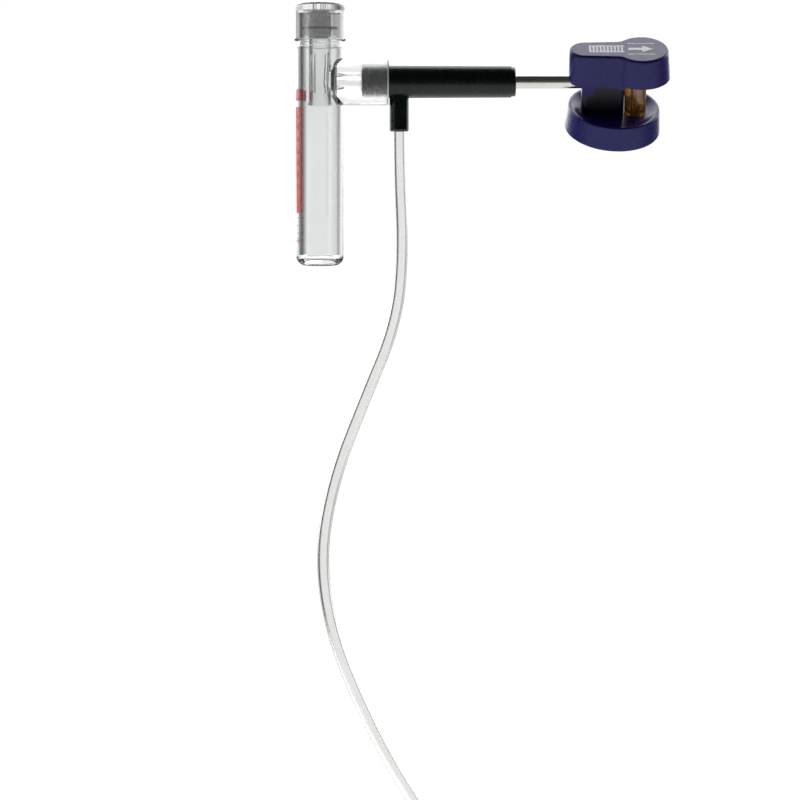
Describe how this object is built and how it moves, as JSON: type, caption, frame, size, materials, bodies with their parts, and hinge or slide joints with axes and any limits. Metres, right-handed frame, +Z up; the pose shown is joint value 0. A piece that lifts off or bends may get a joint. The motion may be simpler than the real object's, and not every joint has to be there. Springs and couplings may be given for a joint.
{
  "type": "suction pump",
  "caption": "Hand-operated piston suction pump: clear collection vessel with a vented push-on cap, side barrel with a sliding rod and swivelling spool handle, and a clear hanging hose",
  "frame": {"origin": "on the vessel's axis at the lower end of its straight wall, just above the rounded base, where a holder takes it", "axes": "+Z up along the vessel, +X along the side arm, barrel and rod towards the handle, +Y away from the person looking at the handle's printed face"},
  "size_m": [0.1917, 0.0564, 0.5536],
  "materials": {
    "clear_plastic": "clear polished moulding",
    "clear_hose": "clear soft tube",
    "dark_green_plastic": "satin moulding",
    "navy_plastic": "glossy moulding",
    "amber_plastic": "translucent",
    "white_plastic": "natural moulding",
    "frosted_plastic": "frosted translucent",
    "seal_rubber": "moulded black rubber",
    "silicone": "milky silicone",
    "gasket": "pale flat gasket",
    "polished_steel": "ground and polished",
    "screw_steel": "turned",
    "insert_brass": "turned brass",
    "filter_felt": "porous white disc"
  },
  "bodies": {
    "vessel": {"vessel_body": "clear_plastic", "arm_gasket": "gasket", "spigot_seal": "seal_rubber", "pump_barrel": "dark_green_plastic", "outlet_seat": "white_plastic", "outlet_umbrella": "silicone", "outlet_retainer": "white_plastic", "inlet_seat": "white_plastic", "gland_cap": "dark_green_plastic", "rod_bushing": "white_plastic", "rod_seal": "seal_rubber", "rod_wiper": "seal_rubber", "hose": "clear_hose", "hose_collar": "frosted_plastic", "hose_connector": "frosted_plastic"},
    "cap": {"cap_shell": "clear_plastic", "cap_seal": "seal_rubber", "exhaust_tube": "clear_plastic", "vent_filter": "filter_felt", "filter_retainer": "white_plastic"},
    "ball": {"inlet_ball": "polished_steel"},
    "rod": {"piston_rod": "polished_steel", "piston_head": "white_plastic", "piston_seals": "seal_rubber", "piston_screw": "screw_steel"},
    "handle": {"handle_top": "navy_plastic", "handle_bushing": "white_plastic", "swivel_clip": "screw_steel", "handle_column": "navy_plastic", "grip_disc": "navy_plastic", "disc_cover": "navy_plastic", "spacer_sleeve": "amber_plastic", "tie_screws": "screw_steel", "threaded_inserts": "insert_brass"}
  },
  "joints": [
    {"name": "cap_lift", "type": "slide", "parent": "vessel", "child": "cap", "axis": [0, 0, 1], "range_m": [0, 0.052]},
    {"name": "ball_lift", "type": "slide", "parent": "vessel", "child": "ball", "axis": [0, 0, 1], "range_m": [0, 0.0015]},
    {"name": "rod_slide", "type": "slide", "parent": "vessel", "child": "rod", "axis": [1, 0, 0], "range_m": [-0.026, 0.016]},
    {"name": "handle_swivel", "type": "hinge", "parent": "rod", "child": "handle", "pos_m": [0.13, 0, 0.08925], "axis": [1, 0, 0], "continuous": true}
  ]
}
